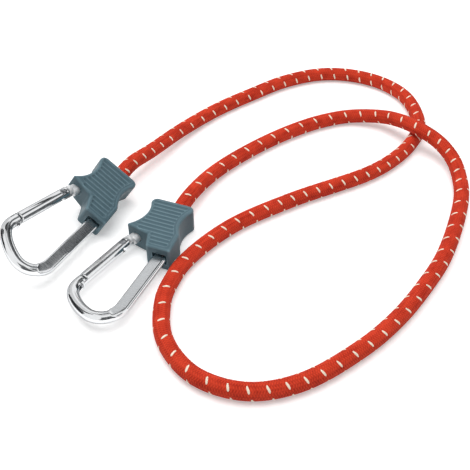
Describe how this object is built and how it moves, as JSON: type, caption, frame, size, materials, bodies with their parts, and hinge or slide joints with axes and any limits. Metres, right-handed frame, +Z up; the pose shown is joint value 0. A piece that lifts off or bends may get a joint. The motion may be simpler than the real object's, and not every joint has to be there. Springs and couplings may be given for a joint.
{
  "type": "bungee cord with carabiner ends",
  "caption": "Elastic braided cord with a ribbed moulded grip and a sprung-gate carabiner at each end, for lashing loads.",
  "frame": {"origin": "on the flat underside of grip b, on its centre line, 12 mm in front of its rear face", "axes": "+X from grip b to the tip of its carabiner, +Y to its spine side, +Z up from the floor it lies on"},
  "size_m": [0.2718, 0.2063, 0.0275],
  "materials": {
    "braided_sheath": "braided",
    "core_rubber": "matte",
    "grip_plastic": "satin moulded",
    "ferrule_steel": "plated",
    "carabiner_aluminium": "polished",
    "gate_aluminium": "polished",
    "rivet_steel": "peened",
    "plunger_steel": "turned",
    "spring_steel": "drawn wire"
  },
  "bodies": {
    "cord_and_hooks": {"cord_sheath": "braided_sheath", "rubber_core": "core_rubber", "grip_upper_shell_a": "grip_plastic", "grip_lower_shell_a": "grip_plastic", "grip_upper_shell_b": "grip_plastic", "grip_lower_shell_b": "grip_plastic", "cord_ferrule_a": "ferrule_steel", "cord_ferrule_b": "ferrule_steel", "carabiner_body_a": "carabiner_aluminium", "carabiner_body_b": "carabiner_aluminium", "hinge_rivet_a": "rivet_steel", "hinge_rivet_b": "rivet_steel"},
    "swinging_gate_a": {"gate_a": "gate_aluminium", "gate_spring_a": "spring_steel"},
    "swinging_gate_b": {"gate_b": "gate_aluminium", "gate_spring_b": "spring_steel"},
    "sliding_plunger_a": {"spring_plunger_a": "plunger_steel"},
    "sliding_plunger_b": {"spring_plunger_b": "plunger_steel"}
  },
  "joints": [
    {"name": "gate_a_hinge", "type": "hinge", "parent": "cord_and_hooks", "child": "swinging_gate_a", "pos_m": [0.01033, -0.05296, 0.02025], "axis": [0.0339, 0.5538, 0.832], "range_deg": [0, 36], "stiffness_Nm_per_rad": 0.04, "springref_deg": -34.38},
    {"name": "gate_b_hinge", "type": "hinge", "parent": "cord_and_hooks", "child": "swinging_gate_b", "pos_m": [0.021, -0.0139, 0.007], "axis": [0, 0, 1], "range_deg": [0, 36], "stiffness_Nm_per_rad": 0.04, "springref_deg": -34.38},
    {"name": "plunger_a_slide", "type": "slide", "parent": "swinging_gate_a", "child": "sliding_plunger_a", "axis": [0.9587, -0.2532, 0.1295], "range_m": [0, 0.0006], "deforming": ["gate_spring_a"]},
    {"name": "plunger_b_slide", "type": "slide", "parent": "swinging_gate_b", "child": "sliding_plunger_b", "axis": [0.9724, -0.2334, 0], "range_m": [0, 0.0006], "deforming": ["gate_spring_b"]}
  ],
  "couplings": [
    {"joint": "plunger_a_slide", "follows": "gate_a_hinge", "m_per_rad": 0.0009},
    {"joint": "plunger_b_slide", "follows": "gate_b_hinge", "m_per_rad": 0.0009}
  ]
}
